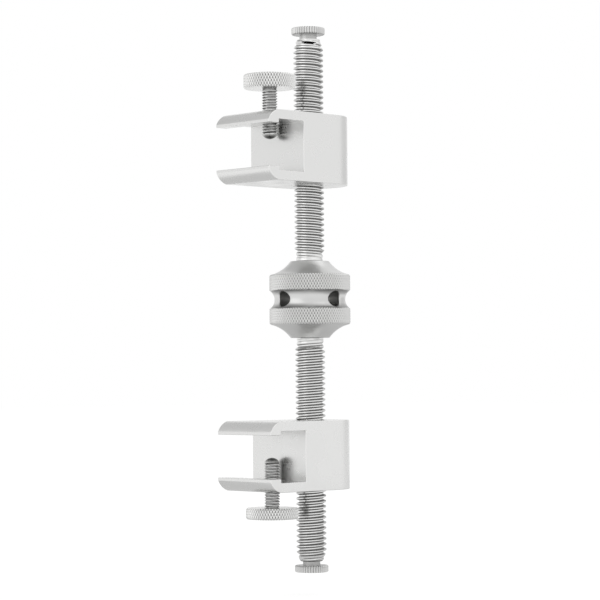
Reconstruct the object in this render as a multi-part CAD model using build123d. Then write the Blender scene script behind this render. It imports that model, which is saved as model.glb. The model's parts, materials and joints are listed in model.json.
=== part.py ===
from build123d import *
from math import radians, sqrt, tan
import os

# Distraction clamp, in millimetres. The two rods run along Z through the origin, which is
# the centre of the hub. The jaws of the brackets open towards -X and their half-round
# backs face +X. Where the two ends differ, the upper one has its own named value.

# Clearances
running_clearance = 0.05      # radial, between a screw and the bore or knob it moves in
seat_clearance = 0.02         # radial, between a fixed spigot and its socket
end_clearance = 0.2           # between the end of a spigot and the bottom of its socket
stop_face_gap = 0.05          # between an end stop's neck and the end of the rod

# Threaded rods, 5/16 inch with 18 threads to the inch
rod_diameter = 7.94
rod_reach = 68.85             # from the hub's centre to the end of the rod
rod_neck_diameter = 7.3       # plain collar between the hub and the thread
rod_neck_length = 1.75
rod_relief_diameter = 6.9     # shallow groove where the thread runs out
rod_relief_length = 1.0
rod_taper_length = 2.6        # over which the last turns of the thread run down
rod_taper_diameter = 6.1
rod_end_length = 0.6          # steeper edge round the end
rod_end_diameter = 4.8
rod_spigot_diameter = 5.6     # turned-down end that sits in the hub

# Hub
hub_half_height = 10.15
hub_diameter = 21.5
hub_face_diameter = 10.3      # flat face round each rod
hub_shoulder_height = 6.6     # where the flare meets the knurled rim
hub_flare_radius = 9.0
hub_rim_chamfer = 0.35
groove_width = 5.0            # waist between the two knurled rims
groove_floor_diameter = 18.8
cross_hole_diameter = 4.0     # for the bar that turns the hub
cross_hole_edge = 0.3         # rounded edge where it meets the waist
cross_hole_wall = 1.0         # metal left between a cross hole and a rod's socket

# End stops
stop_diameter = 8.9
stop_thickness = 1.75
stop_neck_diameter = 4.6
upper_stop_neck_length = 1.7
lower_stop_neck_length = 1.4
stop_screw_diameter = 4.0
stop_screw_length = 5.0
stop_flutes = 38
stop_flute_depth = 0.28
stop_chamfer = 0.2

# Brackets
bracket_height = 18.2
bracket_width = 20.5          # along Y, and the diameter of the half-round back
bracket_reach = 23.8          # from the rod's axis to the tips of the arms
web_face = 11.5               # from the rod's axis to the inside face of the web
arm_thickness = 2.5
lip_start = 20.2              # from the rod's axis to where the lip begins
lip_depth = 1.0
nose_radius = 3.2
nose_land = 0.9               # flat at the very tip of an arm
bore_chamfer = 0.4
upper_bracket_place = 39.3    # from the hub's centre to the middle of the bracket
lower_bracket_place = 41.0

# Clamp screws, 4 mm with a pitch of 0.7 mm, each a stud set in a knurled knob
clamp_axis = 14.05            # from the rod's axis to the screw's axis
stud_diameter = 4.0
stud_neck_diameter = 3.7      # plain stretch under the knob
stud_neck_length = 0.4
upper_stud_length = 13.25     # from the knob to the tip
lower_stud_length = 13.0
stud_tip_height = 1.2
stud_spigot_length = 2.0      # inside the knob
knob_diameter = 13.75
knob_chamfer = 0.3
upper_knob_thickness = 3.65
lower_knob_thickness = 2.9
upper_stud_entry = 4.1        # how far the tip stands inside the jaw
lower_stud_entry = 6.1

# Places that follow from the sizes
rod_radius = rod_diameter / 2
rod_relief_radius = rod_relief_diameter / 2
hub_radius = hub_diameter / 2
socket_floor = cross_hole_diameter / 2 + cross_hole_wall
jaw_half = bracket_height / 2 - arm_thickness
lip_half = jaw_half - lip_depth


def turned(*edges):
    """A solid turned about Z from the edges of its outline, drawn as (radius, height)."""
    outline = Plane.XZ * make_face([edge for group in edges for edge in group.edges()])
    return revolve(outline, Axis.Z)


def arc(start, end, radius):
    """An arc that bulges to the left of the way from start to end, or right if negative."""
    half_chord = (Vector(*end) - Vector(*start)) / 2
    side = Vector(-half_chord.Y, half_chord.X).normalized()
    rise = abs(radius) - sqrt(radius ** 2 - half_chord.length ** 2)
    middle = Vector(*start) + half_chord + side * (rise if radius > 0 else -rise)
    return ThreePointArc(start, middle, end)


def hub():
    """The knurled hub: two rims with a waist between them, flared down to the rods."""
    rim_inside = groove_width / 2
    shoulder_radius = hub_radius - hub_rim_chamfer
    upper_edge = Polyline((0, 0), (0, hub_half_height), (hub_face_diameter / 2, hub_half_height))
    flare = arc(upper_edge @ 1, (shoulder_radius, hub_shoulder_height), -hub_flare_radius)
    rim = Polyline(
        flare @ 1,
        (hub_radius, hub_shoulder_height - hub_rim_chamfer),
        (hub_radius, rim_inside),
    )
    waist_depth = hub_radius - groove_floor_diameter / 2
    waist_radius = (waist_depth ** 2 + rim_inside ** 2) / (2 * waist_depth)
    half = Curve() + [upper_edge, flare, rim]
    waist = arc((hub_radius, rim_inside), (hub_radius, -rim_inside), -waist_radius)
    body = turned(half, waist, mirror(half, Plane.XZ))

    # The seam of the turned faces is kept clear of the hole mouths, whose edges are rounded.
    body = Rot(0, 0, 45) * body
    cross_hole = Cylinder(cross_hole_diameter / 2, 2 * hub_diameter)
    body -= [Rot(0, 0, turn) * Rot(0, 90, 0) * cross_hole for turn in (0, 90)]
    body = fillet(body.edges().filter_by(GeomType.BSPLINE), cross_hole_edge)

    socket = Cylinder(
        rod_spigot_diameter / 2 + seat_clearance,
        hub_half_height - socket_floor,
        align=(Align.CENTER, Align.CENTER, Align.MIN),
    )
    body -= Pos(0, 0, socket_floor) * socket
    body -= mirror(Pos(0, 0, socket_floor) * socket, Plane.XY)
    return body


def rod():
    """The upper rod: a spigot in the hub, a plain neck, a relief groove and the thread."""
    spigot = rod_spigot_diameter / 2
    neck = rod_neck_diameter / 2
    neck_end = hub_half_height + rod_neck_length
    thread_start = neck_end + rod_relief_length
    thread_full = thread_start + (rod_radius - rod_relief_radius) / tan(radians(60))
    tapped = stop_screw_diameter / 2 + running_clearance
    tapped_floor = rod_reach - stop_screw_length - end_clearance
    outline = Polyline(
        (0, socket_floor + end_clearance),
        (spigot, socket_floor + end_clearance),
        (spigot, hub_half_height),
        (neck, hub_half_height),
        (neck, neck_end),
        (rod_relief_radius, neck_end),
        (rod_relief_radius, thread_start),
        (rod_radius, thread_full),
        (rod_radius, rod_reach - rod_taper_length),
        (rod_taper_diameter / 2, rod_reach - rod_end_length),
        (rod_end_diameter / 2, rod_reach),
        (tapped, rod_reach),
        (tapped, tapped_floor),
        (0, tapped_floor - tapped / tan(radians(59))),
        close=True,
    )
    return turned(outline)


def end_stop(neck_length):
    """An end stop above the hub: a fluted disc on a neck, screwed into the end of the rod."""
    disc = stop_diameter / 2
    screw = stop_screw_diameter / 2
    stop_face = rod_reach + neck_length
    stop_end = stop_face + stop_thickness
    outline = Polyline(
        (0, rod_reach - stop_screw_length),
        (screw, rod_reach - stop_screw_length),
        (screw, rod_reach + stop_face_gap),
        (stop_neck_diameter / 2, rod_reach + stop_face_gap),
        (stop_neck_diameter / 2, stop_face),
        (disc - stop_chamfer, stop_face),
        (disc, stop_face + stop_chamfer),
        (disc, stop_end - stop_chamfer),
        (disc - stop_chamfer, stop_end),
        (0, stop_end),
        close=True,
    )
    side = stop_flute_depth * sqrt(2)
    cutter = Rot(0, 0, 45) * Box(side, side, 2 * stop_thickness)
    middle = Pos(0, 0, stop_face + stop_thickness / 2)
    return turned(outline) - PolarLocations(disc, stop_flutes) * (middle * cutter)


def bracket():
    """A lipped C bracket with a half-round back, about its own middle, with its screw above."""
    half_height = bracket_height / 2
    half_width = bracket_width / 2
    land_top = lip_half + nose_land
    nose_centre = half_height - nose_radius
    nose_start = bracket_reach - sqrt(nose_radius ** 2 - (land_top - nose_centre) ** 2)
    back = Line((half_width, 0), (half_width, half_height))
    top = Line(back @ 1, (-nose_start, half_height))
    nose = arc(top @ 1, (-bracket_reach, land_top), -nose_radius)
    inside = Polyline(
        nose @ 1,
        (-bracket_reach, lip_half),
        (-lip_start, lip_half),
        (-lip_start, jaw_half),
        (-web_face, jaw_half),
        (-web_face, 0),
    )
    half = Curve() + [back, top, nose, inside]
    profile = Plane.XZ * make_face(half.edges() + mirror(half, Plane.XZ).edges())
    plan = Circle(half_width) + Pos(-bracket_reach / 2, 0) * Rectangle(bracket_reach, bracket_width)
    body = extrude(profile, half_width, both=True) & extrude(plan, half_height, both=True)

    body -= Cylinder(rod_radius + running_clearance, 2 * bracket_height)
    stud_bore = Cylinder(stud_diameter / 2 + running_clearance, 2 * arm_thickness)
    body -= Pos(-clamp_axis, 0, half_height) * stud_bore
    mouths = [edge for edge in body.edges().filter_by(GeomType.CIRCLE) if edge.is_closed]
    return chamfer(mouths, bore_chamfer)


def stud(entry, length):
    """A clamp screw's stud, about the middle of its bracket, with its tip inside the jaw."""
    radius = stud_diameter / 2
    neck = stud_neck_diameter / 2
    tip = jaw_half - entry
    under_knob = tip + length
    spigot_end = under_knob + stud_spigot_length
    thread_end = under_knob - stud_neck_length
    shoulder = Polyline(
        (radius, tip + stud_tip_height),
        (radius, thread_end - (radius - neck)),
        (neck, thread_end),
        (neck, spigot_end),
        (0, spigot_end),
        (0, tip),
    )
    dome_radius = (stud_tip_height ** 2 + radius ** 2) / (2 * stud_tip_height)
    dome = arc((0, tip), shoulder @ 0, -dome_radius)
    return Pos(-clamp_axis, 0, 0) * turned(dome, shoulder)


def knob(entry, length, thickness):
    """A clamp screw's knob, about the middle of its bracket, above the stud's shoulder."""
    under = jaw_half - entry + length
    disc = Pos(0, 0, under) * Cylinder(
        knob_diameter / 2, thickness, align=(Align.CENTER, Align.CENTER, Align.MIN)
    )
    rims = disc.edges().filter_by(GeomType.CIRCLE)
    disc = chamfer(rims, knob_chamfer)
    socket = Pos(0, 0, under) * Cylinder(
        stud_neck_diameter / 2 + running_clearance,
        stud_spigot_length + end_clearance,
        align=(Align.CENTER, Align.CENTER, Align.MIN),
    )
    return Pos(-clamp_axis, 0, 0) * (disc - socket)


def below(piece):
    """The same piece turned over to the other side of the hub."""
    return mirror(piece, Plane.XY)


at_upper_bracket = Pos(0, 0, upper_bracket_place)
at_lower_bracket = Pos(0, 0, lower_bracket_place)

upper_screw = upper_stud_entry, upper_stud_length
lower_screw = lower_stud_entry, lower_stud_length

pieces = {
    "hub": hub(),
    "upper_spindle": rod(),
    "lower_spindle": below(rod()),
    "upper_end_stop": end_stop(upper_stop_neck_length),
    "lower_end_stop": below(end_stop(lower_stop_neck_length)),
    "upper_bracket": at_upper_bracket * bracket(),
    "lower_bracket": below(at_lower_bracket * bracket()),
    "upper_clamp_stud": at_upper_bracket * stud(*upper_screw),
    "lower_clamp_stud": below(at_lower_bracket * stud(*lower_screw)),
    "upper_clamp_knob": at_upper_bracket * knob(*upper_screw, upper_knob_thickness),
    "lower_clamp_knob": below(at_lower_bracket * knob(*lower_screw, lower_knob_thickness)),
}

os.makedirs("parts", exist_ok=True)
for name, piece in pieces.items():
    export_step(piece, f"parts/{name}.step")
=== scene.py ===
import json
import math

import bmesh
import bpy
from mathutils import Matrix, Vector

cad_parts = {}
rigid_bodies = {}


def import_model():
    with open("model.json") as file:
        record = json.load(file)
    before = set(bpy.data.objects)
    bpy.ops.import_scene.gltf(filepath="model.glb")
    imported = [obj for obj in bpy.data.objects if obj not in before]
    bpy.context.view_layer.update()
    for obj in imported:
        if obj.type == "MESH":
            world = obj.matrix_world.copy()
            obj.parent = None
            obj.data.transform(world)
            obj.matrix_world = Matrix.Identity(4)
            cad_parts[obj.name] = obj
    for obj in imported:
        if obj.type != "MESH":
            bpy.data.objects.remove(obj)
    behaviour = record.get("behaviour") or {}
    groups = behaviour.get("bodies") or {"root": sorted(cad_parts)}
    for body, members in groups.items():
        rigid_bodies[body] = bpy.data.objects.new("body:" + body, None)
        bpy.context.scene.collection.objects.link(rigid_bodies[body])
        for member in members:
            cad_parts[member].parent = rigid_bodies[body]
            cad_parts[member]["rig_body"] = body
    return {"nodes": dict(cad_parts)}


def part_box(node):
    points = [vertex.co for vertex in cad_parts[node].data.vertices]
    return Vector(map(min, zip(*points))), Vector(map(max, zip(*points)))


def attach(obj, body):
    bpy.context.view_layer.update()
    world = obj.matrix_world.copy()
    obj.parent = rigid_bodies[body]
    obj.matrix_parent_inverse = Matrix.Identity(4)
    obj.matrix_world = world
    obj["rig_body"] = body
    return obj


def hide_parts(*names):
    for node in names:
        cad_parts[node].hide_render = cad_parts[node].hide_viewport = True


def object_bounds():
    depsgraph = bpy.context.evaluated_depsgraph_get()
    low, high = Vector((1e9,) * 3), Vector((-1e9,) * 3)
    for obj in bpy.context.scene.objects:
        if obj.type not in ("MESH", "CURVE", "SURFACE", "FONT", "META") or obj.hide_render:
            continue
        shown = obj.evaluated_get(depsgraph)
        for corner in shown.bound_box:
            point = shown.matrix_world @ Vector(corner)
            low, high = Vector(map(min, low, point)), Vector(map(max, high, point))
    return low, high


# Distraction clamp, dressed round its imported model. The round pieces are drawn in millimetres
# and scaled to metres when they are made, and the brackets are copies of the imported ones. The
# rods run along Z and the jaws open towards -X.

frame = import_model()
cadLow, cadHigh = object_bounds()
metre = 0.001
fullTurn = 2 * math.pi
print("frame loaded:", len(frame["nodes"]), "nodes")


# Small helpers

def linearColour(hexText):
    levels = [int(hexText[i:i + 2], 16) / 255 for i in (1, 3, 5)]
    linear = [c / 12.92 if c <= 0.04045 else ((c + 0.055) / 1.055) ** 2.4 for c in levels]
    return (*linear, 1.0)


def addNode(tree, kind, settings=None, links=None):
    node = tree.nodes.new(kind)
    for key, value in (settings or {}).items():
        if isinstance(key, int) or key in node.inputs:
            node.inputs[key].default_value = value
        else:
            setattr(node, key, value)
    for key, source in (links or {}).items():
        tree.links.new(source, node.inputs[key])
    return node


def boxOf(node):
    low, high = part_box(node)
    return low / metre, high / metre


def latheRows(profile, steps):
    # One row of points for each (radius, height) of the profile
    turns = [fullTurn * i / steps for i in range(steps)]
    return [[(r * math.cos(a), r * math.sin(a), z) for a in turns] for r, z in profile]


def bridgeRows(verts, faces, rows, wrapShift=0):
    # Joins each row to the next. wrapShift says how many rows a helix climbs in one turn.
    start = len(verts)
    steps = len(rows[0])
    last = len(rows) - 1
    for row in rows:
        verts.extend(row)
    for j in range(last):
        for i in range(steps):
            wraps = i == steps - 1
            low = min(max(j + wrapShift, 0), last) if wraps else j
            high = min(max(j + 1 + wrapShift, 0), last) if wraps else j + 1
            k = (i + 1) % steps
            faces.append((start + j * steps + i, start + low * steps + k,
                          start + high * steps + k, start + (j + 1) * steps + i))


meshRules = {"sharpAngle": 30, "weld": 0.0005}  # degrees and mm


def makePiece(name, verts, faces, material, shadeDepthAt, centre=(0, 0, 0)):
    # It tells how far down in a cut a point lies, or is painted as if it did, and the materials paint
    # darker shade by it. Each point keeps it, from 0 to 1.
    mesh = bpy.data.meshes.new(name)
    mesh.from_pydata([Vector(v) + Vector(centre) for v in verts], [], faces)
    shadeDepth = mesh.attributes.new("shadeDepth", "FLOAT", "POINT")
    shadeDepth.data.foreach_set("value", [min(max(shadeDepthAt(math.hypot(x, y), abs(z)), 0), 1)
                                      for x, y, z in verts])
    work = bmesh.new()
    work.from_mesh(mesh)
    weld = meshRules["weld"]
    bmesh.ops.remove_doubles(work, verts=work.verts, dist=weld)
    bmesh.ops.dissolve_degenerate(work, edges=work.edges, dist=weld)
    bmesh.ops.recalc_face_normals(work, faces=work.faces)
    bmesh.ops.scale(work, vec=(metre, metre, metre), verts=work.verts)
    work.to_mesh(mesh)
    work.free()
    mesh.shade_smooth()
    mesh.set_sharp_from_angle(angle=math.radians(meshRules["sharpAngle"]))
    mesh.materials.append(material)
    piece = bpy.data.objects.new(name, mesh)
    bpy.context.scene.collection.objects.link(piece)
    return piece


def dressNode(piece, node):
    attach(piece, frame["nodes"][node]["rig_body"])
    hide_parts(node)


def mirrored(verts):
    return [(x, y, -z) for x, y, z in verts]


# Materials

bumpDepth = 0.02 * metre  # how deep the grain goes at a bump strength of 1


def newMetal(name):
    # A bare metal, with the coordinates that its patterns follow
    material = bpy.data.materials.new(name)
    material.use_nodes = True
    tree = material.node_tree
    shader = tree.nodes["Principled BSDF"]
    shader.inputs["Metallic"].default_value = 1.0
    return material, tree, shader, addNode(tree, "ShaderNodeTexCoord")


def satinStainless():
    # Stainless steel, milled and then satin blasted: pale, soft reflections and a fine grain,
    # a little brighter where handling has rubbed the edges
    look = {"base": "#E0E0DF", "worn": "#EDEDEC", "roughness": 0.27, "smoother": 0.03, "rougher": 0.05,
            "grain": 0.22, "brushed": 0.12, "brushLength": 20, "cloud": 6, "cloudLow": 0.3,
            "cloudHigh": 0.7, "edge": 0.25, "rubbedFrom": 0.995, "rubbedTo": 0.9, "bump": 0.05}
    material, tree, shader, place = newMetal("satinBlastedStainless")
    # Blasting grain is typically about 0.05 mm, drawn at 0.22 mm so that it shows
    grain = addNode(tree, "ShaderNodeTexNoise",
                    {"Scale": 1 / (look["grain"] * metre), "Detail": 2.0, "Roughness": 0.6},
                    {"Vector": place.outputs["Object"]})
    cloud = addNode(tree, "ShaderNodeTexNoise", {"Scale": 1 / (look["cloud"] * metre), "Detail": 3.0},
                    {"Vector": place.outputs["Object"]})
    # Near an edge the eased normal turns away from the plain one
    eased = addNode(tree, "ShaderNodeBevel", {"samples": 4, "Radius": look["edge"] * metre})
    plain = addNode(tree, "ShaderNodeNewGeometry")
    match = addNode(tree, "ShaderNodeVectorMath", {"operation": "DOT_PRODUCT"},
                    {0: eased.outputs["Normal"], 1: plain.outputs["Normal"]})
    rubbed = addNode(tree, "ShaderNodeMapRange",
                     {"From Min": look["rubbedFrom"], "From Max": look["rubbedTo"]},
                     {"Value": match.outputs["Value"]})
    tint = addNode(tree, "ShaderNodeMix", {"data_type": "RGBA", 6: linearColour(look["base"]),
                                           7: linearColour(look["worn"])},
                   {"Factor": rubbed.outputs["Result"]})
    rough = addNode(tree, "ShaderNodeMapRange",
                    {"From Min": look["cloudLow"], "From Max": look["cloudHigh"],
                     "To Min": look["roughness"] - look["smoother"],
                     "To Max": look["roughness"] + look["rougher"]},
                    {"Value": cloud.outputs["Fac"]})
    # Faint upright brush lines, typically about 0.03 mm apart, drawn at 0.12 mm so that they show
    stretched = addNode(tree, "ShaderNodeVectorMath",
                        {"operation": "MULTIPLY", 1: (1, 1, 1 / look["brushLength"])},
                        {0: place.outputs["Object"]})
    brushed = addNode(tree, "ShaderNodeTexNoise",
                      {"Scale": 1 / (look["brushed"] * metre), "Detail": 1.0},
                      {"Vector": stretched.outputs["Vector"]})
    both = addNode(tree, "ShaderNodeMath", {"operation": "ADD"},
                   {0: grain.outputs["Fac"], 1: brushed.outputs["Fac"]})
    bump = addNode(tree, "ShaderNodeBump", {"Strength": look["bump"], "Distance": bumpDepth},
                   {"Height": both.outputs[0]})
    tree.links.new(tint.outputs[2], shader.inputs["Base Color"])
    tree.links.new(rough.outputs["Result"], shader.inputs["Roughness"])
    tree.links.new(bump.outputs["Normal"], shader.inputs["Normal"])
    return material


def turnedStainless():
    # Stainless steel, turned on a lathe and lightly blasted: greyer, with faint rings round the axis
    look = {"base": "#D6D6D5", "low": "#CBCBCA", "paintedShade": "#5E5E5D", "paintedShadeStart": 0.68,
            "roughness": 0.33, "feed": 0.16, "ringShare": 0.25, "grain": 0.2, "cloud": 4, "bump": 0.15}
    material, tree, shader, place = newMetal("turnedStainless")
    parts = addNode(tree, "ShaderNodeSeparateXYZ", links={0: place.outputs["Object"]})
    # A lathe's fine feed is typically about 0.05 mm a turn, drawn at 0.16 mm so that it shows
    ringScale = fullTurn / (look["feed"] * metre)
    rings = addNode(tree, "ShaderNodeMath", {"operation": "MULTIPLY", 1: ringScale},
                    {0: parts.outputs["Z"]})
    wave = addNode(tree, "ShaderNodeMath", {"operation": "SINE"}, {0: rings.outputs[0]})
    grain = addNode(tree, "ShaderNodeTexNoise",
                    {"Scale": 1 / (look["grain"] * metre), "Detail": 2.0},
                    {"Vector": place.outputs["Object"]})
    height = addNode(tree, "ShaderNodeMath", {"operation": "MULTIPLY_ADD", 1: look["ringShare"]},
                     {0: wave.outputs[0], 2: grain.outputs["Fac"]})
    cloud = addNode(tree, "ShaderNodeTexNoise", {"Scale": 1 / (look["cloud"] * metre), "Detail": 3.0},
                    {"Vector": place.outputs["Object"]})
    tint = addNode(tree, "ShaderNodeMix", {"data_type": "RGBA", 6: linearColour(look["low"]),
                                           7: linearColour(look["base"])},
                   {"Factor": cloud.outputs["Fac"]})
    # Painted shade: places that lie deep, or count as deep, are painted darker from a set depth on
    shadeDepth = addNode(tree, "ShaderNodeAttribute", {"attribute_name": "shadeDepth"})
    paintedShade = addNode(tree, "ShaderNodeMapRange", {"From Min": look["paintedShadeStart"], "From Max": 1.0},
                  {"Value": shadeDepth.outputs["Fac"]})
    shade = addNode(tree, "ShaderNodeMix", {"data_type": "RGBA", 7: linearColour(look["paintedShade"])},
                    {"Factor": paintedShade.outputs["Result"], 6: tint.outputs[2]})
    bump = addNode(tree, "ShaderNodeBump", {"Strength": look["bump"], "Distance": bumpDepth},
                   {"Height": height.outputs[0]})
    shader.inputs["Roughness"].default_value = look["roughness"]
    tree.links.new(shade.outputs[2], shader.inputs["Base Color"])
    tree.links.new(bump.outputs["Normal"], shader.inputs["Normal"])
    return material


def cutThreadStainless(name, flankShadeColour):
    # Stainless steel with cut threads: bright crests and roots, and flanks that are painted darker as
    # painted shade and rougher where the tool has left its marks
    look = {"base": "#E4E4E3", "flank": flankShadeColour, "flankStart": 0.35, "flankFull": 0.8,
            "deep": "#161616", "paintedShadowStart": 0.52, "paintedShadowFull": 0.6, "roughness": 0.28,
            "flankRoughness": 0.36, "grain": 0.12, "bump": 0.12}
    material, tree, shader, place = newMetal(name)
    grain = addNode(tree, "ShaderNodeTexNoise",
                    {"Scale": 1 / (look["grain"] * metre), "Detail": 2.0},
                    {"Vector": place.outputs["Object"]})
    # A flank faces along the axis more than a crest or a root does
    facing = addNode(tree, "ShaderNodeSeparateXYZ", links={0: place.outputs["Normal"]})
    tilt = addNode(tree, "ShaderNodeMath", {"operation": "ABSOLUTE"}, {0: facing.outputs["Z"]})
    flank = addNode(tree, "ShaderNodeMapRange",
                    {"From Min": look["flankStart"], "From Max": look["flankFull"]},
                    {"Value": tilt.outputs[0]})
    tint = addNode(tree, "ShaderNodeMix", {"data_type": "RGBA", 6: linearColour(look["base"]),
                                           7: linearColour(look["flank"])},
                   {"Factor": flank.outputs["Result"]})
    # Roots lie at 0.5 of this depth. Only a slit, a seam or a bore lies deeper, and there the colour is
    # painted near black as painted shadow.
    shadeDepth = addNode(tree, "ShaderNodeAttribute", {"attribute_name": "shadeDepth"})
    deep = addNode(tree, "ShaderNodeMapRange",
                   {"From Min": look["paintedShadowStart"], "From Max": look["paintedShadowFull"]},
                   {"Value": shadeDepth.outputs["Fac"]})
    shade = addNode(tree, "ShaderNodeMix", {"data_type": "RGBA", 7: linearColour(look["deep"])},
                    {"Factor": deep.outputs["Result"], 6: tint.outputs[2]})
    rough = addNode(tree, "ShaderNodeMapRange",
                    {"To Min": look["roughness"], "To Max": look["flankRoughness"]},
                    {"Value": flank.outputs["Result"]})
    bump = addNode(tree, "ShaderNodeBump", {"Strength": look["bump"], "Distance": bumpDepth},
                   {"Height": grain.outputs["Fac"]})
    tree.links.new(shade.outputs[2], shader.inputs["Base Color"])
    tree.links.new(rough.outputs["Result"], shader.inputs["Roughness"])
    tree.links.new(bump.outputs["Normal"], shader.inputs["Normal"])
    return material


def knurledStainless():
    # Stainless steel, knurled and left as rolled: pale ridges with soft sparkle, and pits that are
    # rougher and painted darker as painted shade
    look = {"base": "#E0E0DF", "paintedShade": "#7A7A79", "paintedShadeStart": 0.5, "roughness": 0.26,
            "pitRoughness": 0.4, "grain": 0.15, "bump": 0.1}
    material, tree, shader, place = newMetal("knurledStainless")
    grain = addNode(tree, "ShaderNodeTexNoise",
                    {"Scale": 1 / (look["grain"] * metre), "Detail": 2.0},
                    {"Vector": place.outputs["Object"]})
    # Painted shade: the deeper half of each pit is painted darker
    shadeDepth = addNode(tree, "ShaderNodeAttribute", {"attribute_name": "shadeDepth"})
    paintedShade = addNode(tree, "ShaderNodeMapRange", {"From Min": look["paintedShadeStart"], "From Max": 1.0},
                  {"Value": shadeDepth.outputs["Fac"]})
    tint = addNode(tree, "ShaderNodeMix", {"data_type": "RGBA", 6: linearColour(look["base"]),
                                           7: linearColour(look["paintedShade"])},
                   {"Factor": paintedShade.outputs["Result"]})
    rough = addNode(tree, "ShaderNodeMapRange",
                    {"To Min": look["roughness"], "To Max": look["pitRoughness"]},
                    {"Value": paintedShade.outputs["Result"]})
    bump = addNode(tree, "ShaderNodeBump", {"Strength": look["bump"], "Distance": bumpDepth},
                   {"Height": grain.outputs["Fac"]})
    tree.links.new(tint.outputs[2], shader.inputs["Base Color"])
    tree.links.new(rough.outputs["Result"], shader.inputs["Roughness"])
    tree.links.new(bump.outputs["Normal"], shader.inputs["Normal"])
    return material


bracketSteel = satinStainless()
hubSteel = turnedStainless()
# The second colour is the flanks' painted shade, darker on the fine stud thread
threadSteel = cutThreadStainless("cutThreadStainless", "#A6A6A5")
fineThreadSteel = cutThreadStainless("fineThreadStainless", "#727271")
knurlSteel = knurledStainless()
print("materials made")


# Threads

cornerEase = {"along": 0.18, "rise": 0.13}  # shares of the flank's length and of the depth


def threadOutline(radius, depth, crest, root):
    # One pitch of the thread, as (share of the pitch, radius), from root to crest and back.
    # crest and root are the shares of their flats, and the corners beside them are eased.
    low = radius - depth
    flank = (1 - crest - root) / 2
    along, lift = flank * cornerEase["along"], cornerEase["rise"]
    climb = [(0.0, 0.0), (root / 2, 0.0), (root / 2 + along, lift),
             (0.5 - crest / 2 - along, 1 - lift), (0.5 - crest / 2, 1.0)]
    rise = [(share, low + depth * part) for share, part in climb]
    return rise + [(1 - share, radius) for share, radius in reversed(rise[1:])]


def outlineRadius(outline, share):
    share %= 1.0
    points = outline + [(1.0, outline[0][1])]
    for (s0, r0), (s1, r1) in zip(points, points[1:]):
        if s0 <= share <= s1:
            return r0 + (r1 - r0) * (share - s0) / (s1 - s0)


def threadRows(outline, pitch, hand, start, end, phase, steps, limit):
    # Rows that follow the helix from start to end. limit caps the radius at a height.
    turns = math.ceil((end - start) / pitch) + 2
    rows = []
    for k in range(turns):
        for share, _ in outline:
            row = []
            for i in range(steps):
                climb = hand * i / steps
                z = start + (k - 1 + share - phase + climb) * pitch
                if k == 0 and share == 0.0:
                    z = start
                z = min(max(z, start), end)
                here = (z - start) / pitch + phase - climb
                r = min(outlineRadius(outline, here), limit(z))
                a = fullTurn * i / steps
                row.append((r * math.cos(a), r * math.sin(a), z))
            rows.append(row)
    rows.append([(p[0], p[1], end) for p in rows[-1]])
    return rows


def fadeGrooves(rows, start, runIn, limit):
    # The grooves start shallow and reach their depth over runIn
    for row in rows:
        for i, (x, y, z) in enumerate(row):
            r = math.hypot(x, y)
            share = math.sqrt(min(1.0, abs(z - start) / runIn))
            kept = (limit(z) + (r - limit(z)) * share) / r
            row[i] = (x * kept, y * kept, z)


def cutSlit(rows, slit):
    # A turn near the rod's outer end is cut far deeper on one side, into a slit that is painted near
    # black as painted shadow
    steps = len(rows[0])
    middle = round(slit["angle"] / 360 * steps)
    half = slit["span"] / 360 * steps / 2
    for row in rows:
        if abs(row[middle][2] - slit["height"]) > slit["tall"] / 2:
            continue
        for i, (x, y, z) in enumerate(row):
            off = ((i - middle + steps // 2) % steps - steps // 2) / half
            share = max(0, min(1, (1 - off * off) * slit["edge"]))
            kept = 1 - (1 - slit["radius"] / math.hypot(x, y)) * share
            row[i] = (x * kept, y * kept, z)


rodCuts = {"pitch": 25.4 / 18, "depthShare": 0.57, "crest": 0.19, "root": 0.22, "steps": 72,
           "upperHand": -1, "lowerHand": 1, "upperPhase": 0.933, "lowerPhase": 0.247, "runIn": 2.6}
rodShape = {"neckRadius": 3.6, "neckLength": 0.35, "shankRadius": 3.56, "shankLength": 2.4,
            "spigotRadius": 2.8, "screwBore": 2.05, "screwDepth": 5.2, "taperLength": 2.6,
            "taperRadius": 3.15, "endLength": 0.3, "endRadius": 2.85, "collar": 0.3, "collarBore": 2.34,
            "seamRadius": 2.55, "seamHeight": 0.16, "neckEdge": 0.1, "shankRise": 0.8, "drillPoint": 0.6}
# edge is how steeply the slit's ends run out
rodSlit = {"height": 68.0, "tall": 0.45, "angle": 228.4, "span": 66, "radius": 2.15, "edge": 4}
hubHalfHeight = boxOf("hub")[1].z


def rodLimit(z, reach, radius):
    # How thick the rod may be at a height: thin by the hub, full along the thread, tapered at its end
    shape = rodShape
    shankEnd = hubHalfHeight + shape["shankLength"]
    thick = min(radius, shape["shankRadius"] + max(0, z - shankEnd) * shape["shankRise"])
    tip = reach - z
    if tip < shape["endLength"]:
        widening = (shape["taperRadius"] - shape["endRadius"]) / shape["endLength"]
        return shape["endRadius"] + widening * tip
    rest = (tip - shape["endLength"]) / (shape["taperLength"] - shape["endLength"])
    return min(thick, shape["taperRadius"] + (radius - shape["taperRadius"]) * rest)


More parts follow.
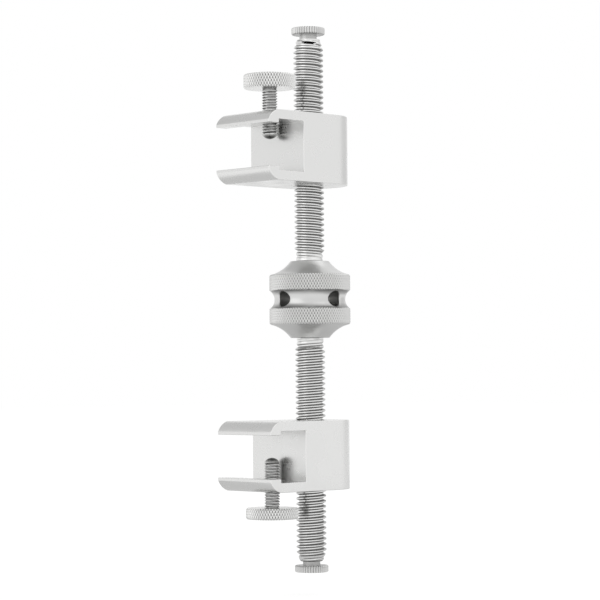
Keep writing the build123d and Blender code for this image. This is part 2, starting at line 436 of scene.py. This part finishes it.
def rodMesh(reach, radius, inner, hand, phase, slit=None):
    # The upper rod, from its spigot in the hub out to the tapped end
    cut = rodCuts
    shape = rodShape
    depth = cut["depthShare"] * cut["pitch"]
    start = hubHalfHeight + shape["neckLength"]
    verts, faces = [], []
    # A fine undercut where the rod leaves the hub lies deep enough to be painted near black, as a
    # painted shadow seam
    seam = hubHalfHeight + shape["seamHeight"]
    below = [(0, inner), (shape["spigotRadius"], inner), (shape["spigotRadius"], hubHalfHeight),
             (shape["seamRadius"], hubHalfHeight), (shape["seamRadius"], seam),
             (shape["neckRadius"], seam), (shape["neckRadius"], start - shape["neckEdge"]),
             (shape["shankRadius"], start)]
    bridgeRows(verts, faces, latheRows(below, cut["steps"]))
    outline = threadOutline(radius, depth, cut["crest"], cut["root"])

    def limit(z):
        return rodLimit(z, reach, radius)

    rows = threadRows(outline, cut["pitch"], hand, start, reach, phase, cut["steps"], limit)
    fadeGrooves(rows, start, cut["runIn"], limit)
    if slit:
        cutSlit(rows, slit)
    bridgeRows(verts, faces, rows, hand * len(outline))
    # The end stands a little proud round the neck of the end stop
    bore, collarBore = shape["screwBore"], shape["collarBore"]
    face = reach - shape["collar"]
    boreEnd = face - shape["screwDepth"]
    above = [(shape["endRadius"], reach), (collarBore, reach), (collarBore, face), (bore, face),
             (bore, boreEnd), (0, boreEnd - bore * shape["drillPoint"])]
    bridgeRows(verts, faces, latheRows(above, cut["steps"]))
    return verts, faces


for side, hand, phase in (("upper", rodCuts["upperHand"], rodCuts["upperPhase"]),
                          ("lower", rodCuts["lowerHand"], rodCuts["lowerPhase"])):
    low, high = boxOf(side + "_spindle")
    near, far = sorted((abs(low.z), abs(high.z)))
    # The lower rod is drawn as an upper one and turned over, which also swaps its hand
    drawnHand = hand if side == "upper" else -hand
    reach = far + rodShape["collar"]
    slit = rodSlit if side == "upper" else None
    verts, faces = rodMesh(reach, high.x, near, drawnHand, phase, slit)
    if side == "lower":
        verts = mirrored(verts)
    # Below the thread's roots, in the slit, the seam and the bore, the material paints shadow
    twice = 2 * rodCuts["depthShare"] * rodCuts["pitch"]
    rod = makePiece(side + "RodThreaded", verts, faces, threadSteel,
                    lambda r, z: (rodLimit(z, reach, high.x) - r) / twice)
    dressNode(rod, side + "_spindle")
print("rods made")


# Clamp screws

studCuts = {"pitch": 0.7, "depthShare": 0.56, "crest": 0.24, "root": 0.14, "steps": 48, "hand": 1,
            "upperPhase": 0.0, "lowerPhase": 0.0, "runIn": 0.5, "runOut": 1.2}
studShape = {"neckRadius": 1.85, "neckLength": 0.25, "spigot": 2.0, "tipHeight": 1.2,
             "domeRows": 8, "domeSpread": 1.6, "fadeBeyond": 0.5, "seamRadius": 1.56, "seamEdge": 0.06}


def studMesh(radius, length, hand, phase):
    # A stud that stands on its tip at height 0
    cut = studCuts
    shape = studShape
    pitch = cut["pitch"]
    depth = cut["depthShare"] * pitch
    tip = shape["tipHeight"]
    shoulder = length - shape["neckLength"]
    domeRadius = (tip ** 2 + radius ** 2) / (2 * tip)
    dome = []
    for i in range(shape["domeRows"] + 1):
        z = tip * (i / shape["domeRows"]) ** shape["domeSpread"]
        dome.append((math.sqrt(max(domeRadius ** 2 - (domeRadius - z) ** 2, 0)), z))
    verts, faces = [], []
    bridgeRows(verts, faces, latheRows(dome, cut["steps"]))
    outline = threadOutline(radius, depth, cut["crest"], cut["root"])
    neck = shape["neckRadius"]

    def limit(z):
        return min(radius, neck + (shoulder - z))

    rows = threadRows(outline, pitch, hand, tip, shoulder, phase, cut["steps"], limit)
    fadeGrooves(rows, tip, cut["runIn"], limit)
    fadeGrooves(rows, shoulder + shape["fadeBeyond"], cut["runOut"], limit)
    bridgeRows(verts, faces, rows, hand * len(outline))
    return verts, faces, shoulder


def addStud(side, phase):
    low, high = boxOf(side + "_clamp_stud")
    radius = (high.y - low.y) / 2
    axis = (low.x + high.x) / 2
    # The lower stud is drawn as an upper one and turned over, which also swaps its hand
    hand = studCuts["hand"] if side == "upper" else -studCuts["hand"]
    shape = studShape
    neck, seam, edge = shape["neckRadius"], shape["seamRadius"], shape["seamEdge"]
    top = high.z - low.z
    length = top - shape["spigot"]
    verts, faces, shoulder = studMesh(radius, length, hand, phase)
    # An undercut under the knob shows as a dark seam, painted darker as painted shadow where it lies
    # below the roots
    above = [(neck, shoulder), (seam, shoulder + edge), (seam, length + edge), (neck, length + 2 * edge),
             (neck, top), (0, top)]
    bridgeRows(verts, faces, latheRows(above, studCuts["steps"]))
    if side == "lower":
        verts = mirrored(verts)
    base = low.z if side == "upper" else high.z
    twice = 2 * studCuts["depthShare"] * studCuts["pitch"]

    # Below the thread's roots the material paints shadow
    def shadeDepthAt(r, z):
        return (radius - r) / twice if z > shape["tipHeight"] else 0

    stud = makePiece(side + "StudThreaded", verts, faces, fineThreadSteel, shadeDepthAt, (axis, 0, base))
    dressNode(stud, side + "_clamp_stud")


addStud("upper", studCuts["upperPhase"])
addStud("lower", studCuts["lowerPhase"])
print("clamp screws made")


# Knurling

# Each diamond is drawn with so many parts each way. ridge 1 would cut the grooves evenly deep,
# and less leaves them shallower between the pits. flatTop above 1 cuts the tops off flat.
knurlForm = {"parts": 4, "ridge": 0.65, "flatTop": 1.6}


def knurlRows(radius, depth, start, end, around, along, limit):
    # Raised diamonds from two crossing sets of grooves. around counts the diamonds round the
    # rim and along those from start to end.
    parts, ridge, flatTop = (knurlForm[key] for key in ("parts", "ridge", "flatTop"))
    steps = around * parts
    count = round(along * parts)
    rows = []
    for j in range(count + 1):
        z = start + (end - start) * j / count
        v = j / parts
        row = []
        for i in range(steps):
            u = i / parts
            heights = [1 - abs(2 * ((u + s * v) % 1.0) - 1) for s in (1, -1)]
            # Flat tops, grooves, and a pit where two grooves cross
            rise = ridge * min(heights) + (1 - ridge) * sum(heights) / 2
            r = min(radius, limit(z)) - depth * (1 - min(1, rise * flatTop))
            a = fullTurn * i / steps
            row.append((r * math.cos(a), r * math.sin(a), z))
        rows.append(row)
    return rows


def crossBridge(verts, faces, rows):
    # Joins rows with triangles whose long edges follow the grooves
    start = len(verts)
    steps = len(rows[0])
    for row in rows:
        verts.extend(row)
    for j in range(len(rows) - 1):
        for i in range(steps):
            k = (i + 1) % steps
            a, b = start + j * steps + i, start + j * steps + k
            d, c = a + steps, b + steps
            if (i + j) % 2:
                faces.extend([(a, b, d), (b, c, d)])
            else:
                faces.extend([(a, b, c), (a, c, d)])


knobCuts = {"around": 56, "upperAlong": 2.5, "lowerAlong": 2, "depth": 0.26, "chamfer": 0.3,
            "bore": 1.9, "boreDepth": 2.2}


def addKnob(side, along):
    cut = knobCuts
    low, high = boxOf(side + "_clamp_knob")
    radius = (high.y - low.y) / 2
    axis = (low.x + high.x) / 2
    thickness = high.z - low.z
    chamfer = cut["chamfer"]

    def limit(z):
        return min(radius, radius - chamfer + min(z, thickness - z))

    steps = cut["around"] * knurlForm["parts"]
    verts, faces = [], []
    rim = knurlRows(radius, cut["depth"], 0, thickness, cut["around"], along, limit)
    flat = radius - chamfer - 2 * cut["depth"]
    under = [(0, cut["boreDepth"]), (cut["bore"], cut["boreDepth"]), (cut["bore"], 0), (flat, 0)]
    bridgeRows(verts, faces, latheRows(under, steps) + [rim[0]])
    crossBridge(verts, faces, rim)
    bridgeRows(verts, faces, [rim[-1]] + latheRows([(flat, thickness), (0, thickness)], steps))
    if side == "lower":
        verts = mirrored(verts)
    base = low.z if side == "upper" else high.z

    # The knurl's pits are painted darker as painted shade, the deeper they lie
    def shadeDepthAt(r, z):
        return (limit(z) - r) / cut["depth"] if r > flat else 0

    knob = makePiece(side + "KnobKnurled", verts, faces, knurlSteel, shadeDepthAt, (axis, 0, base))
    dressNode(knob, side + "_clamp_knob")


addKnob("upper", knobCuts["upperAlong"])
addKnob("lower", knobCuts["lowerAlong"])
print("knobs made")


# Hub

hubShape = {"faceRadius": 5.15, "shoulder": 6.6, "flareRadius": 9.0, "rimChamfer": 0.35,
            "grooveWidth": 5.0, "grooveFloor": 9.4, "holeRadius": 2.0, "holeEdge": 0.3,
            "socketRadius": 2.82, "socketFloor": 3.0}
hubCuts = {"around": 88, "along": 2.875, "depth": 0.26, "flareRows": 16, "sideRows": 24,
           "patchRows": 8, "patchSpread": 0.8, "edgeRows": 4, "holeRows": 6}
# How deep the waist counts for its painted shade at its middle, and what is added up to the rims
waistPaintedShade = {"middle": 0.5, "rise": 0.46}


def waistRadius(z):
    radius = hubRadius
    shape = hubShape
    deep = radius - shape["grooveFloor"]
    half = shape["grooveWidth"] / 2
    curve = (deep ** 2 + half ** 2) / (2 * deep)
    return shape["grooveFloor"] + curve - math.sqrt(curve ** 2 - z ** 2)


def flarePoints():
    # The concave flare from the hub's face down to its shoulder
    shape = hubShape
    start = Vector((shape["faceRadius"], hubHalfHeight))
    end = Vector((hubRadius - shape["rimChamfer"], shape["shoulder"]))
    half = (end - start) / 2
    across = Vector((-half.y, half.x)).normalized()
    reach = math.sqrt(shape["flareRadius"] ** 2 - half.length_squared)
    centre = start + half + across * reach
    first = (start - centre).angle_signed(Vector((1, 0)))
    swing = (end - centre).angle_signed(start - centre)
    count = hubCuts["flareRows"]
    points = []
    for i in range(count + 1):
        a = first + swing * i / count
        points.append((centre.x + shape["flareRadius"] * math.cos(a),
                       centre.y + shape["flareRadius"] * math.sin(a)))
    return points


def waistBorder(rimRow, turn):
    # Goes round one quarter of the waist. Each step has its column from the quarter's middle,
    # its height, and the rim's own point there if there is one.
    half = hubShape["grooveWidth"] / 2
    steps = len(rimRow)
    side = steps // 8
    columns = range(-side, side + 1)
    count = hubCuts["sideRows"]
    rise = [half * (2 * i / count - 1) for i in range(1, count)]
    high = [(i, half, rimRow[(turn * 2 * side + i) % steps]) for i in columns]
    low = [(i, -half, (x, y, -z)) for i, _, (x, y, z) in high]
    border = high[::-1] + [(-side, z, None) for z in reversed(rise)]
    return border + low + [(side, z, None) for z in rise]


def waistPath(reach):
    # From the border to the cross hole's rounded mouth: how far from the hole's axis each
    # point lies, and how deep it lies below the waist
    shape, cut = hubShape, hubCuts
    mouthRadius = shape["holeRadius"] + shape["holeEdge"]
    path = []
    for s in range(1, cut["patchRows"] + 1):
        share = (s / cut["patchRows"]) ** cut["patchSpread"]
        path.append((reach + (mouthRadius - reach) * share, 0.0))
    for s in range(1, cut["edgeRows"] + 1):
        bend = math.pi / 2 * s / cut["edgeRows"]
        path.append((mouthRadius - shape["holeEdge"] * math.sin(bend),
                     shape["holeEdge"] * (1 - math.cos(bend))))
    return path


def waistQuarter(rimRow, turn):
    # Rings of points round one cross hole, from the border in to its mouth and down the hole
    cut = hubCuts
    spin = Matrix.Rotation(fullTurn * turn / 4, 3, "Z")
    back = spin.inverted()
    spokes = []
    for column, z, given in waistBorder(rimRow, turn):
        a = fullTurn * column / len(rimRow)
        outer = Vector((math.cos(a) * waistRadius(z), math.sin(a) * waistRadius(z), z))
        slope = math.atan2(outer.z, outer.y)
        points = [back @ Vector(given) if given else outer]
        for away, drop in waistPath(math.hypot(outer.y, outer.z)):
            y, rise = math.cos(slope) * away, math.sin(slope) * away
            points.append(Vector((math.sqrt(waistRadius(rise) ** 2 - y ** 2) - drop, y, rise)))
        mouth = points[-1]
        inner = abs(mouth.y)  # where this hole meets the next one
        for s in range(1, cut["holeRows"] + 1):
            x = mouth.x + (inner - mouth.x) * s / cut["holeRows"]
            points.append(Vector((x, mouth.y, mouth.z)))
        spokes.append([spin @ point for point in points])
    return [list(ring) for ring in zip(*spokes)]


def addHub():
    shape, cut = hubShape, hubCuts
    steps = cut["around"] * knurlForm["parts"]
    half = shape["grooveWidth"] / 2
    chamferStart = shape["shoulder"] - shape["rimChamfer"]
    verts, faces = [], []

    def limit(z):
        return hubRadius - max(0.0, abs(z) - chamferStart)

    rim = knurlRows(hubRadius, cut["depth"], half, shape["shoulder"], cut["around"], cut["along"], limit)
    profile = [(0, shape["socketFloor"]), (shape["socketRadius"], shape["socketFloor"]),
               (shape["socketRadius"], hubHalfHeight)] + flarePoints()[:-1]
    for flip in (1, -1):
        crossBridge(verts, faces, [[(x, y, flip * z) for x, y, z in row] for row in rim])
        edge = [(x, y, flip * z) for x, y, z in rim[-1]]
        bridgeRows(verts, faces, latheRows([(r, flip * z) for r, z in profile], steps) + [edge])
    for turn in range(4):
        bridgeRows(verts, faces, waistQuarter(rim[0], turn))

    # Slack where a zone ends and below the waist's floor, and how far in from the rim cuts count
    touch, holeSlack, rimDepth = 0.001, 0.05, 1.0

    def shadeDepthAt(r, z):
        # The waist is painted darker towards the rims, as painted shade, and the knurl's pits darker the
        # deeper they lie
        if z < half - touch:
            onWaist = r > shape["grooveFloor"] - holeSlack
            return waistPaintedShade["middle"] + waistPaintedShade["rise"] * z / half if onWaist else 0
        onRim = z <= shape["shoulder"] + touch and r > hubRadius - rimDepth
        return (limit(z) - r) / cut["depth"] if onRim else 0

    hub = makePiece("hubKnurled", verts, faces, hubSteel, shadeDepthAt)
    dressNode(hub, "hub")


hubRadius = boxOf("hub")[1].x
addHub()
print("hub made")


# Brackets

# Faces that lie within flat, in degrees, are merged into one
bracketEdge = {"width": 0.16, "segments": 2, "angle": 25, "weld": 0.002, "flat": 1}
# The noses of the arms: a quarter round in the solid, drawn as the flatter curve of the real one
plainNose = {"radius": 3.2, "land": 0.9}
flatNose = {"radius": 4.9, "land": 0.75, "length": 3.35}
lipHalf = 5.6  # from the middle of the jaw to a lip
# How far off the plain arc a point may lie, and the share of the arc where its outer end starts
noseSlack = {"place": 0.01, "radius": 0.02, "outer": 0.99}


def arcBetween(start, end, radius):
    # Centre and end angles of the arc that bulges to the left of the way from start to end
    half = (end - start) / 2
    across = Vector((half.y, -half.x)).normalized()
    centre = start + half + across * math.sqrt(radius ** 2 - half.length_squared)
    return centre, math.atan2(*reversed(start - centre)), math.atan2(*reversed(end - centre))


def flattenNoses(mesh, side):
    # Moves the points of each nose from the plain arc to the flatter one, in the XZ plane
    low, high = boxOf(side + "_bracket")
    middle, half = (low.z + high.z) / 2, (high.z - low.z) / 2
    plainRadius = plainNose["radius"]
    plainStart = Vector((0, lipHalf + plainNose["land"]))
    plainReach = math.sqrt(plainRadius ** 2 - (plainStart.y - half + plainRadius) ** 2)
    plainCentre = Vector((plainReach, half - plainRadius))
    first = math.atan2(plainStart.y - plainCentre.y, plainReach)
    centre, begin, finish = arcBetween(Vector((0, lipHalf + flatNose["land"])),
                                       Vector((flatNose["length"], half)), flatNose["radius"])
    outer = set()
    for point in mesh.vertices:
        inward, rise = point.co.x / metre - low.x, point.co.z / metre - middle
        away = plainCentre - Vector((inward, abs(rise)))
        onNose = away.x > -noseSlack["place"] and abs(rise) > plainStart.y - noseSlack["place"]
        if not onNose or abs(away.length - plainRadius) > noseSlack["radius"]:
            continue
        share = (math.atan2(-away.y, away.x) - first) / (math.pi / 2 - first)
        turn = begin + (finish - begin) * share
        spot = centre + flatNose["radius"] * Vector((math.cos(turn), math.sin(turn)))
        point.co.x = (low.x + spot.x) * metre
        point.co.z = (middle + math.copysign(spot.y, rise)) * metre
        if share > noseSlack["outer"]:
            outer.add(point.index)
    return outer


def addBracket(side):
    cad = frame["nodes"][side + "_bracket"]
    mesh = cad.data.copy()
    mesh.name = side + "BracketEased"
    work = bmesh.new()
    work.from_mesh(mesh)
    bmesh.ops.remove_doubles(work, verts=work.verts, dist=bracketEdge["weld"] * metre)
    bmesh.ops.dissolve_limit(work, angle_limit=math.radians(bracketEdge["flat"]), verts=work.verts,
                             edges=work.edges)
    work.to_mesh(mesh)
    work.free()
    outer = flattenNoses(mesh, side)
    mesh.materials.clear()
    mesh.materials.append(bracketSteel)
    mesh.shade_smooth()
    mesh.set_sharp_from_angle(angle=math.radians(bracketEdge["angle"]))
    for edge in mesh.edges:
        if outer.issuperset(edge.vertices):
            edge.use_edge_sharp = True
    print(side, "nose points on the outer face:", len(outer))
    bracket = bpy.data.objects.new(side + "BracketEased", mesh)
    bpy.context.scene.collection.objects.link(bracket)
    ease = bracket.modifiers.new("ease", "BEVEL")
    ease.width = bracketEdge["width"] * metre
    ease.segments = bracketEdge["segments"]
    ease.limit_method = "ANGLE"
    ease.angle_limit = math.radians(bracketEdge["angle"])
    ease.harden_normals = True
    dressNode(bracket, side + "_bracket")


addBracket("upper")
addBracket("lower")
print("brackets made")


# End stops

stopShape = {"screwRadius": 2.0, "screwLength": 5.0, "faceGap": 0.05, "neckRadius": 2.3,
             "thickness": 1.75, "chamfer": 0.2, "flutes": 38, "perFlute": 6, "depth": 0.24}
# How deep the bottoms of the flutes count for painted shade, and the neck with the middle of the outer
# face
stopPaintedShade = {"flute": 0.9, "neck": 0.76}


def addStop(side):
    shape = stopShape
    low, high = boxOf(side + "_end_stop")
    near, far = sorted((abs(low.z), abs(high.z)))
    disc = high.y
    face = far - shape["thickness"]
    rodEnd = near + shape["screwLength"] + shape["faceGap"]
    steps = shape["flutes"] * shape["perFlute"]
    chamfer = shape["chamfer"]

    def fluted(radius, z):
        row = []
        for i in range(steps):
            a = fullTurn * i / steps
            r = radius - shape["depth"] * (1 - abs(math.cos(a * shape["flutes"] / 2)))
            row.append((r * math.cos(a), r * math.sin(a), z))
        return row

    inside = [(0, near), (shape["screwRadius"], near), (shape["screwRadius"], rodEnd),
              (shape["neckRadius"], rodEnd), (shape["neckRadius"], face)]
    rim = [fluted(disc - chamfer, face), fluted(disc, face + chamfer), fluted(disc, far - chamfer),
           fluted(disc - chamfer, far)]
    verts, faces = [], []
    bridgeRows(verts, faces, latheRows(inside, steps) + rim + latheRows([(0, far)], steps))
    if side == "lower":
        verts = mirrored(verts)

    # Painted shade: the flutes' bottoms are painted darker, and the discs' faces a little darker all
    # over
    def shadeDepthAt(r, z):
        if r > (disc + shape["neckRadius"]) / 2:
            return stopPaintedShade["flute"] * (disc - r) / shape["depth"]
        return stopPaintedShade["neck"]

    stop = makePiece(side + "StopFluted", verts, faces, hubSteel, shadeDepthAt)
    dressNode(stop, side + "_end_stop")


addStop("upper")
addStop("lower")
print("end stops made")


# Studio

studio = {"floorSize": 6.0, "floorColour": "#F4F4F4", "floorDrop": 6, "glow": 0.78,
          "shadowShare": 0.32, "ambient": 0.75}
# The floor lies below the end stop, so that the lower knob clears it when the brackets are apart.
# With its screw then also turned out by more than 0.85 mm, the knob would reach through the floor.
floorHeight = cadLow.z - studio["floorDrop"] * metre


def paleMask(tree):
    # 1 for the rays that see the pale background: from the camera, off metal and through glass
    path = addNode(tree, "ShaderNodeLightPath")
    first = addNode(tree, "ShaderNodeMath", {"operation": "MAXIMUM"},
                    {0: path.outputs["Is Camera Ray"], 1: path.outputs["Is Glossy Ray"]})
    return addNode(tree, "ShaderNodeMath", {"operation": "MAXIMUM"},
                   {0: first.outputs[0], 1: path.outputs["Is Transmission Ray"]})


def addWorld():
    world = bpy.data.worlds.new("studio")
    bpy.context.scene.world = world
    world.use_nodes = True
    tree = world.node_tree
    tree.nodes.clear()
    mask = paleMask(tree)
    soft = addNode(tree, "ShaderNodeBackground", {"Color": (1, 1, 1, 1), "Strength": studio["ambient"]})
    pale = addNode(tree, "ShaderNodeBackground", {"Color": (1, 1, 1, 1), "Strength": 1.0})
    both = addNode(tree, "ShaderNodeMixShader",
                   links={0: mask.outputs[0], 1: soft.outputs[0], 2: pale.outputs[0]})
    addNode(tree, "ShaderNodeOutputWorld", links={0: both.outputs[0]})


def addFloor():
    material = bpy.data.materials.new("paleFloor")
    material.use_nodes = True
    tree = material.node_tree
    tree.nodes.clear()
    mask = paleMask(tree)
    colour = linearColour(studio["floorColour"])
    plain = addNode(tree, "ShaderNodeBsdfDiffuse", {"Color": colour})
    glow = addNode(tree, "ShaderNodeEmission", {"Color": (1, 1, 1, 1), "Strength": studio["glow"]})
    share = studio["shadowShare"]
    shaded = addNode(tree, "ShaderNodeBsdfDiffuse", {"Color": (share, share, share, 1)})
    pale = addNode(tree, "ShaderNodeAddShader", links={0: glow.outputs[0], 1: shaded.outputs[0]})
    both = addNode(tree, "ShaderNodeMixShader",
                   links={0: mask.outputs[0], 1: plain.outputs[0], 2: pale.outputs[0]})
    addNode(tree, "ShaderNodeOutputMaterial", links={0: both.outputs[0]})
    half = studio["floorSize"] / 2
    corners = [(-half, -half, floorHeight), (half, -half, floorHeight),
               (half, half, floorHeight), (-half, half, floorHeight)]
    mesh = bpy.data.meshes.new("floor")
    mesh.from_pydata(corners, [], [(0, 1, 2, 3)])
    mesh.materials.append(material)
    floor = bpy.data.objects.new("floor", mesh)
    bpy.context.scene.collection.objects.link(floor)


addWorld()
addFloor()


# Grey cards out of the camera's sight shape what the metal reflects, as in a studio. azimuth is
# the side they stand on, in degrees from the object: 0 is +X and 90 is +Y. shade is how bright
# they look, where 1 is white. The low card lies flat near the floor, turned about its middle.

cards = {
    "rightCard": {"azimuth": 0, "elevation": 8, "away": 0.9, "wide": 0.6, "tall": 0.7, "shade": 0.78},
    "leftCard": {"azimuth": 133, "elevation": 5, "away": 1.0, "wide": 0.6, "tall": 0.6, "shade": 0.95},
    "topCard": {"azimuth": 100, "elevation": 52, "away": 0.7, "wide": 1.0, "tall": 0.6, "shade": 0.65},
    "lowCard": {"middle": (0.145, 0.097, -0.0707), "turn": 29, "wide": 0.4, "tall": 0.26, "shade": 0.68},
}


def addCard(name, card):
    material = bpy.data.materials.new(name)
    material.use_nodes = True
    tree = material.node_tree
    tree.nodes.clear()
    glow = addNode(tree, "ShaderNodeEmission", {"Color": (1, 1, 1, 1), "Strength": card["shade"]})
    addNode(tree, "ShaderNodeOutputMaterial", links={0: glow.outputs[0]})
    w, h = card["wide"] / 2, card["tall"] / 2
    mesh = bpy.data.meshes.new(name)
    mesh.from_pydata([(-w, -h, 0), (w, -h, 0), (w, h, 0), (-w, h, 0)], [], [(0, 1, 2, 3)])
    mesh.materials.append(material)
    sheet = bpy.data.objects.new(name, mesh)
    bpy.context.scene.collection.objects.link(sheet)
    if "middle" in card:
        sheet.location = card["middle"]
        sheet.rotation_euler.z = math.radians(card["turn"])
    else:
        placeFacing(sheet, card)
    sheet.visible_camera = False
    sheet.visible_shadow = False
    sheet.visible_diffuse = False


def placeFacing(thing, spot):
    # Stands it off the object's middle, turned towards it
    a, e = math.radians(spot["azimuth"]), math.radians(spot["elevation"])
    away = Vector((math.cos(a) * math.cos(e), math.sin(a) * math.cos(e), math.sin(e)))
    thing.location = away * spot["away"]
    thing.rotation_mode = "QUATERNION"
    thing.rotation_quaternion = away.to_track_quat("Z", "Y")


for name, card in cards.items():
    addCard(name, card)


lamps = {
    "leftBox": {"azimuth": 170, "elevation": 25, "away": 1.0, "size": 1.0, "watts": 1.2},
    "topBox": {"azimuth": -60, "elevation": 70, "away": 1.1, "size": 1.2, "watts": 1.6},
}


def addLamp(name, lamp):
    data = bpy.data.lights.new(name, "AREA")
    data.size = lamp["size"]
    data.energy = lamp["watts"]
    box = bpy.data.objects.new(name, data)
    bpy.context.scene.collection.objects.link(box)
    placeFacing(box, lamp)


for name, lamp in lamps.items():
    addLamp(name, lamp)
print("studio made")


# Camera, about 0.6 m away and 20 mm below the middle of the object

cameraView = {"azimuth": -43.59, "distance": 0.614, "height": -0.0201, "focalPixels": 2314,
              "imagePixels": 600, "sensor": 36.0, "yaw": -0.244, "pitch": 1.867, "roll": -0.388,
              "clipStart": 0.01, "clipEnd": 20.0}


def addCamera():
    view = cameraView
    a, yaw, pitch, roll = (math.radians(view[k]) for k in ("azimuth", "yaw", "pitch", "roll"))
    back = Vector((math.sin(a), -math.cos(a), 0))
    right = Vector((math.cos(a), math.sin(a), 0))
    up = Vector((0, 0, 1))
    ahead = -back
    ahead, right = (ahead * math.cos(yaw) + right * math.sin(yaw),
                    right * math.cos(yaw) - ahead * math.sin(yaw))
    ahead, up = (ahead * math.cos(pitch) + up * math.sin(pitch),
                 up * math.cos(pitch) - ahead * math.sin(pitch))
    right, up = (right * math.cos(roll) + up * math.sin(roll),
                 up * math.cos(roll) - right * math.sin(roll))
    data = bpy.data.cameras.new("camera")
    data.sensor_width = view["sensor"]
    data.lens = view["focalPixels"] / view["imagePixels"] * data.sensor_width
    data.clip_start, data.clip_end = view["clipStart"], view["clipEnd"]
    camera = bpy.data.objects.new("camera", data)
    bpy.context.scene.collection.objects.link(camera)
    turn = Matrix((right, up, -ahead)).transposed().to_4x4()
    place = back * view["distance"] + Vector((0, 0, view["height"]))
    camera.matrix_world = Matrix.Translation(place) @ turn
    bpy.context.scene.camera = camera


addCamera()
bpy.context.scene.view_settings.view_transform = "Standard"
print("camera placed")
